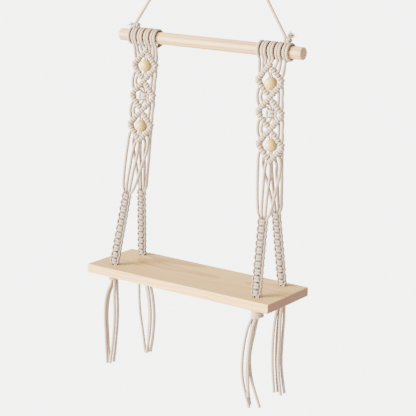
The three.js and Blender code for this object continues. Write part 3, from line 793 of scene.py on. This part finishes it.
def wood_material(name, kind, colour, pith):
    """Wood cut from a log: growth rings are shells about a pith line, so that faces show long lines and ends
    show arcs. Between two rings the early wood darkens into late wood, and fibres 1 mm wide and broad paler
    and darker patches follow the grain. pith is a point on the pith line in metres."""
    wood = WOODS[kind]
    material, tree = new_material(name)
    place = add(tree, "TexCoord").outputs["Object"]
    # Three stretches, each with one value across the grain and one along it
    fine, broad, level = (
        tuple(along if axis == wood["axis"] else across for axis in range(3))
        for across, along in ((400.0, 12.0), (6.0, 1.2), (1.0, 0.0)))
    slow = add(tree, "Mapping", {"Vector": place, "Scale": broad})
    warp = add(tree, "TexNoise", {"Vector": slow, "Scale": 2.2, "Detail": 2.0})
    centre = add(tree, "VectorMath", {0: place, 1: pith}, operation="SUBTRACT")
    flat = add(tree, "VectorMath", {0: centre, 1: level}, operation="MULTIPLY")
    reach = add(tree, "VectorMath", {0: flat}, operation="LENGTH")
    swirl = add(tree, "Math", {0: warp, 1: wood["wander"], 2: reach}, operation="MULTIPLY_ADD")
    turns = add(tree, "Math", {0: swirl, 1: 1.0 / wood["ring"]}, operation="MULTIPLY")
    year = add(tree, "Math", {0: turns}, operation="FRACT")
    late = add(tree, "MapRange", {0: year, 1: 0.45, 2: 0.97}, interpolation_type="SMOOTHSTEP")
    back = add(tree, "MapRange", {0: year, 1: 0.97, 2: 1.0, 3: 1.0, 4: 0.0})
    band = add(tree, "Math", {0: late, 1: back}, operation="MULTIPLY")
    pull = add(tree, "Mapping", {"Vector": place, "Scale": fine})
    fibre = add(tree, "TexNoise", {"Vector": pull, "Scale": 2.5, "Detail": 4.0, "Roughness": 0.6})
    patch = add(tree, "TexNoise", {"Vector": slow, "Scale": 5.0, "Detail": 1.0})
    streak = add(tree, "Math", {0: fibre, 1: 0.5, 2: band}, operation="MULTIPLY_ADD")
    mix = add(tree, "Math", {0: streak, 1: 0.62}, operation="MULTIPLY", use_clamp=True)
    dark = (*linear(wood["late"]), 1.0)
    base = add(tree, "Mix", {0: mix, 6: shade(colour, 1.05), 7: dark}, data_type="RGBA")
    light = add(tree, "MapRange", {0: patch, 1: 0.3, 2: 0.7, 3: 0.94, 4: 1.05})
    # Sawn ends: the end grain's own darker tone, made darker still with painted shade
    end = add(tree, "Attribute", attribute_name="end").outputs["Fac"]
    grain = add(tree, "Mix", {0: end, 6: (1.0, 1.0, 1.0, 1.0), 7: (*wood["end"], 1.0)}, data_type="RGBA")
    cut = add(tree, "VectorMath", {0: base, 1: grain}, operation="MULTIPLY")
    last = add(tree, "VectorMath", {0: cut, "Scale": light}, operation="SCALE")
    bump = add(tree, "Bump", {"Height": streak, "Strength": 0.15, "Distance": 0.0002})
    surface = add(tree, "BsdfPrincipled", {
        "Base Color": last, "Roughness": wood["rough"], "IOR": 1.5, "Specular IOR Level": 0.25,
        "Normal": bump})
    add(tree, "OutputMaterial", {"Surface": surface})
    return material


def floor_material(colour):
    """Smooth pale plaster floor: matt, with hardly any cloud in it."""
    material, tree = new_material("pale_plaster")
    place = add(tree, "TexCoord").outputs["Object"]
    cloud = add(tree, "TexNoise", {"Vector": place, "Scale": 0.4, "Detail": 1.0})
    base = add(tree, "Mix", {0: cloud, 6: shade(colour, 0.99), 7: shade(colour, 1.01)}, data_type="RGBA")
    surface = add(tree, "BsdfPrincipled", {"Base Color": base, "Roughness": 0.95, "Specular IOR Level": 0.1})
    add(tree, "OutputMaterial", {"Surface": surface})
    return material


# Operators

class SHELF_OT_camera(bpy.types.Operator):
    """Sets up the camera at the angle of the photograph"""
    bl_idname = "shelf.camera"
    bl_label = "Camera"

    def execute(self, context):
        yaw, pitch, roll = (math.radians(CAMERA[name]) for name in ("yaw", "pitch", "roll"))
        ahead = Vector((-math.sin(yaw) * math.cos(pitch), math.cos(yaw) * math.cos(pitch), -math.sin(pitch)))
        right = Vector((math.cos(yaw), math.sin(yaw), 0))
        up = right.cross(ahead)
        turned_right = right * math.cos(roll) + up * math.sin(roll)
        turned_up = up * math.cos(roll) - right * math.sin(roll)
        data = bpy.data.cameras.new("camera")
        data.sensor_width = SENSOR_MM
        data.lens = CAMERA["focal_px"] / FRAME_PX * SENSOR_MM
        data.clip_end = CAMERA["far"]
        camera = bpy.data.objects.new("camera", data)
        turn = Matrix((turned_right, turned_up, -ahead)).transposed().to_4x4()
        camera.matrix_world = Matrix.Translation(CAMERA["place"]) @ turn
        context.scene.collection.objects.link(camera)
        context.scene.camera = camera
        return {"FINISHED"}


class SHELF_OT_sides(bpy.types.Operator):
    """Knots the left and the right side from eight strands each"""
    bl_idname = "shelf.sides"
    bl_label = "Knotted sides"

    def execute(self, context):
        sizes = context.scene.shelf_sizes
        radius, wide = sizes.cord_width / MM / 2, sizes.leg_width / MM
        material = cotton_material(context.scene.shelf_colours.cotton)
        rng = np.random.default_rng(SEEDS["sides"])
        for side in SIDES:
            lines = []
            for first in range(0, len(STRANDS), 2):
                left, right = (strand_rows(side, index, radius, wide) for index in (first, first + 1))
                lines.append(np.vstack([left[::-1], right[1:]]))
            for leg in LEGS:
                lines += stopper_rows(side, leg)
            skins = [cord_skin(rows, **CORD) for rows in lines]
            tones = rng.uniform(-TONES, TONES, len(skins))
            piece = make_piece("knotted_side_" + side["name"], skins, material, tones)
            settle(piece, "cotton", "macrame_" + side["name"])
        return {"FINISHED"}


class SHELF_OT_hanging_cord(bpy.types.Operator):
    """Ties the cord that the shelf hangs from, with a knot and a loosened tail at each end"""
    bl_idname = "shelf.hanging_cord"
    bl_label = "Hanging cord"

    def execute(self, context):
        radius = context.scene.shelf_sizes.cord_width / MM / 2
        material = bpy.data.materials["unbleached_cotton_cord"]
        rng = np.random.default_rng(SEEDS["tufts"])
        skins = [cord_skin(hanging_rows(radius), **CORD)]
        for side, count in zip(SIDES, TUFT["counts"]):
            skins += [cord_skin(rows, TUFT["step"], TUFT["sides"]) for rows in tuft_rows(rng, side, count)]
        piece = make_piece("hanging_cord_tied", skins, material)
        settle(piece, "cotton", "hanging_cord")
        return {"FINISHED"}


class SHELF_OT_beads(bpy.types.Operator):
    """Turns the four beads"""
    bl_idname = "shelf.beads"
    bl_label = "Beads"

    def execute(self, context):
        rng = np.random.default_rng(SEEDS["beads"])
        bore = BEAD["bore"]
        flat = math.acos(bore / BEAD["radius"])
        t = np.linspace(-flat, flat, LATHE["bead_rows"])
        outside = np.stack([BEAD["radius"] * np.cos(t), BEAD["rise"] * np.sin(t)], axis=1)
        lip, rows = outside[-1, 1] - BEAD["lip"], LATHE["bore_rows"]
        inside = np.stack([np.full(rows, bore - BEAD["lip"]), np.linspace(lip, -lip, rows)], axis=1)
        profile = np.vstack([outside, inside])
        for side in SIDES:
            axes, origin = panel_axes(side)
            for level, diamond, shift in zip(("upper", "lower"), BEADED, side["bead_down"]):
                name = side["name"] + "_" + level
                across, out = DIAMOND["bead"]
                place = np.array([across, crossing(diamond) + HALF_PITCH + shift, out]) @ axes + origin
                pith = (place + rng.uniform(-1, 1, 3) * PITH["bead_spread"] + PITH["bead"]) * MM
                colour = context.scene.shelf_colours.bead
                material = wood_material("turned_beech_" + name, "bead", colour, pith)
                surface = skin(lathe(profile, LATHE["sides"], place, 2), None, 1.0)
                piece = make_piece("bead_turned_" + name, [surface], material)
                settle(piece, "bead_wood", "bead_" + name)
        return {"FINISHED"}


class SHELF_OT_dowel(bpy.types.Operator):
    """Makes the round dowel with its sawn and lightly sanded ends"""
    bl_idname = "shelf.dowel"
    bl_label = "Dowel"

    def execute(self, context):
        half, radius, edge = DOWEL["length"] / 2, DOWEL["radius"], DOWEL["edge"]
        middle = by_dowel(DOWEL["x"])
        corner = np.linspace(0, math.pi / 2, LATHE["edge_rows"])
        start = np.column_stack([radius - edge + edge * np.sin(corner), -half + edge - edge * np.cos(corner)])
        along = np.linspace(-half + edge, half - edge, LATHE["dowel_rows"])
        body = np.column_stack([np.full(len(along), radius), along])
        profile = np.vstack([start, body[1:-1], start[::-1] * (1, -1)])
        poles = middle + np.array([(-half, 0, 0), (half, 0, 0)])
        pith = (middle * (0, 1, 1)) * MM + PITH["dowel"]
        colour = context.scene.shelf_colours.dowel
        material = wood_material("sanded_birch_dowel", "dowel", colour, pith)
        surface = skin(lathe(profile, LATHE["sides"], middle, 0), poles, 100.0)
        piece = make_piece("dowel_sanded", [surface], material)
        mark_ends(piece.data)
        settle(piece, "dowel_wood", "dowel")
        return {"FINISHED"}


class SHELF_OT_board(bpy.types.Operator):
    """Planes the board, rounds its edges and bores a hole near each corner"""
    bl_idname = "shelf.board"
    bl_label = "Board"

    def execute(self, context):
        edge = context.scene.shelf_sizes.edge_rounding / MM
        half = np.array([BOARD["length"], BOARD["depth"], BOARD["thickness"]]) / 2
        middle = np.array([0, BOARD["middle_y"], BOARD["top"] - half[2]])
        turn = np.linspace(0, math.pi / 2, BOARD_EDGE_ROWS)
        corners = [(1, 1, 0.0), (-1, 1, 0.5), (-1, -1, 1.0), (1, -1, 1.5)]
        section = np.vstack([
            np.stack([y * (half[1] - edge) + edge * np.cos(turn + quarter * math.pi),
                      z * (half[2] - edge) + edge * np.sin(turn + quarter * math.pi)], axis=1)
            for y, z, quarter in corners])
        bend = np.concatenate([turn[::-1], turn])
        end = np.repeat([-1, 1], len(turn))
        scale = (half[1:] - edge * (1 - np.cos(bend))[:, None]) / half[1:]
        rings = np.zeros((len(bend), len(section), 3))
        rings[:, :, 0] = (end * (half[0] - edge * (1 - np.sin(bend))))[:, None]
        rings[:, :, 1:] = section[None] * scale[:, None]
        poles = np.array([(-half[0], 0, 0), (half[0], 0, 0)])
        colour = context.scene.shelf_colours.pine
        material = wood_material("planed_pine_board", "board", colour, PITH["board"])
        piece = make_piece("board_planed", [skin(rings + middle, poles + middle, 100.0)], material)
        reach = np.array([(0, 0, -BIT["reach"]), (0, 0, BIT["reach"])])
        for x in (-HOLE["x"], HOLE["x"]):
            for y in (HOLE["front_y"], HOLE["back_y"]):
                place = np.array([x, y, middle[2]])
                rod = lathe([(HOLE["radius"], z) for z in reach[:, 2]], BIT["sides"], place, 2)
                bit = make_piece("bit", [skin(rod, place + reach, 1.0)], material)
                cut = piece.modifiers.new("hole", "BOOLEAN")
                cut.operation = "DIFFERENCE"
                cut.solver = "EXACT"
                cut.object = bit
                with context.temp_override(object=piece, active_object=piece, selected_objects=[piece]):
                    bpy.ops.object.modifier_apply(modifier=cut.name)
                bpy.data.objects.remove(bit)
        piece.data.polygons.foreach_set("use_smooth", np.zeros(len(piece.data.polygons), dtype=bool))
        mark_ends(piece.data)
        settle(piece, "pine", "board")
        return {"FINISHED"}


class SHELF_OT_stage(bpy.types.Operator):
    """Lays a plain pale floor and sets soft light from the left of the camera"""
    bl_idname = "shelf.stage"
    bl_label = "Floor and light"

    def execute(self, context):
        drop = context.scene.shelf_sizes.floor_drop
        mesh = bpy.data.meshes.new("floor")
        ways = ((-1, -1), (1, -1), (1, 1), (-1, 1))
        corners = [(x * FLOOR_REACH, y * FLOOR_REACH, -drop) for x, y in ways]
        mesh.from_pydata(corners, [], [(0, 1, 2, 3)])
        mesh.materials.append(floor_material(context.scene.shelf_colours.floor))
        floor = bpy.data.objects.new("floor", mesh)
        context.scene.collection.objects.link(floor)
        sun = bpy.data.lights.new("window", "SUN")
        sun.energy = SUN["strength"]
        sun.angle = math.radians(SUN["width"])
        sun.color = SUN["colour"]
        lamp = bpy.data.objects.new("window", sun)
        lamp.rotation_euler = Vector(SUN["travel"]).to_track_quat("-Z", "Y").to_euler()
        context.scene.collection.objects.link(lamp)
        world = bpy.data.worlds.new("room")
        world.use_nodes = True
        back = world.node_tree.nodes["Background"]
        back.inputs[0].default_value = ROOM["colour"]
        back.inputs[1].default_value = ROOM["strength"]
        context.scene.world = world
        return {"FINISHED"}


class SHELF_PT_panel(bpy.types.Panel):
    """Lists the sizes, the colours and the steps"""
    bl_idname = "SHELF_PT_panel"
    bl_label = "Knotted wall shelf"
    bl_space_type = "VIEW_3D"
    bl_region_type = "UI"
    bl_category = "Shelf"

    def draw(self, context):
        for group in (context.scene.shelf_sizes, context.scene.shelf_colours):
            column = self.layout.column()
            for name in group.bl_rna.properties.keys():
                if name not in ("rna_type", "name"):
                    column.prop(group, name)
        for step in STEPS:
            self.layout.operator(step.bl_idname)


STEPS = (SHELF_OT_camera, SHELF_OT_sides, SHELF_OT_hanging_cord, SHELF_OT_beads, SHELF_OT_dowel,
         SHELF_OT_board, SHELF_OT_stage)
CLASSES = (ShelfSizes, ShelfColours, *STEPS, SHELF_PT_panel)


def register():
    for item in CLASSES:
        bpy.utils.register_class(item)
    bpy.types.Scene.shelf_sizes = bpy.props.PointerProperty(type=ShelfSizes)
    bpy.types.Scene.shelf_colours = bpy.props.PointerProperty(type=ShelfColours)


def unregister():
    del bpy.types.Scene.shelf_colours
    del bpy.types.Scene.shelf_sizes
    for item in reversed(CLASSES):
        bpy.utils.unregister_class(item)


def main():
    """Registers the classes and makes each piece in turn."""
    register()
    for step in STEPS:
        getattr(bpy.ops.shelf, step.bl_idname.split(".")[1])()


if __name__ == "__main__":
    main()
